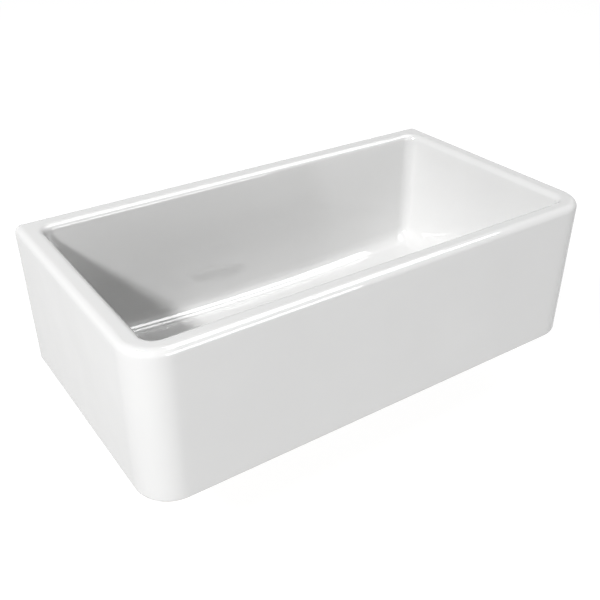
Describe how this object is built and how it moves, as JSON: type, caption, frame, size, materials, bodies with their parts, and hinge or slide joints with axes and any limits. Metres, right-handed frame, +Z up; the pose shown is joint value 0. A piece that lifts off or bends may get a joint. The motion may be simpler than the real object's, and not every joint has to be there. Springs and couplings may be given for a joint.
{
  "type": "apron front kitchen sink",
  "caption": "White glazed fireclay apron front kitchen sink: one deep rounded bowl with a wide rim, a basket strainer with lift-out basket and stopper, and a waste tailpiece.",
  "frame": {"origin": "centre of the open lower end of the tailpiece, on the drain axis", "axes": "+X along the sink's width, to the right seen from the front; +Y from the apron front to the back; +Z up along the drain axis"},
  "size_m": [0.838, 0.458, 0.411],
  "materials": {
    "glazed_fireclay": "gloss white glaze",
    "brushed_steel": "satin",
    "plated_metal": "polished",
    "spring_steel": "satin",
    "black_rubber": "matte",
    "fibre_ring": "matte",
    "pale_sealant": "matte",
    "white_washer": "matte"
  },
  "bodies": {
    "waste_and_basin": {"basin": "glazed_fireclay", "flange_seal": "pale_sealant", "strainer_body": "brushed_steel", "body_gasket": "black_rubber", "friction_ring": "fibre_ring", "lock_nut": "plated_metal", "outlet_spud": "plated_metal", "tailpiece_washer": "white_washer", "tailpiece": "plated_metal", "coupling_nut": "plated_metal"},
    "basket": {"basket_cup": "brushed_steel", "post_guide": "plated_metal", "guide_clip": "spring_steel"},
    "stopper": {"stopper_post": "plated_metal", "knob": "plated_metal", "stopper_plate": "brushed_steel", "stopper_seal": "black_rubber", "seal_washer": "brushed_steel", "seal_nut": "plated_metal"}
  },
  "joints": [
    {"name": "basket_lift", "type": "slide", "parent": "waste_and_basin", "child": "basket", "axis": [0, 0, 1], "range_m": [0, 0.31]},
    {"name": "stopper_slide", "type": "slide", "parent": "basket", "child": "stopper", "axis": [0, 0, 1], "range_m": [0, 0.01]}
  ]
}
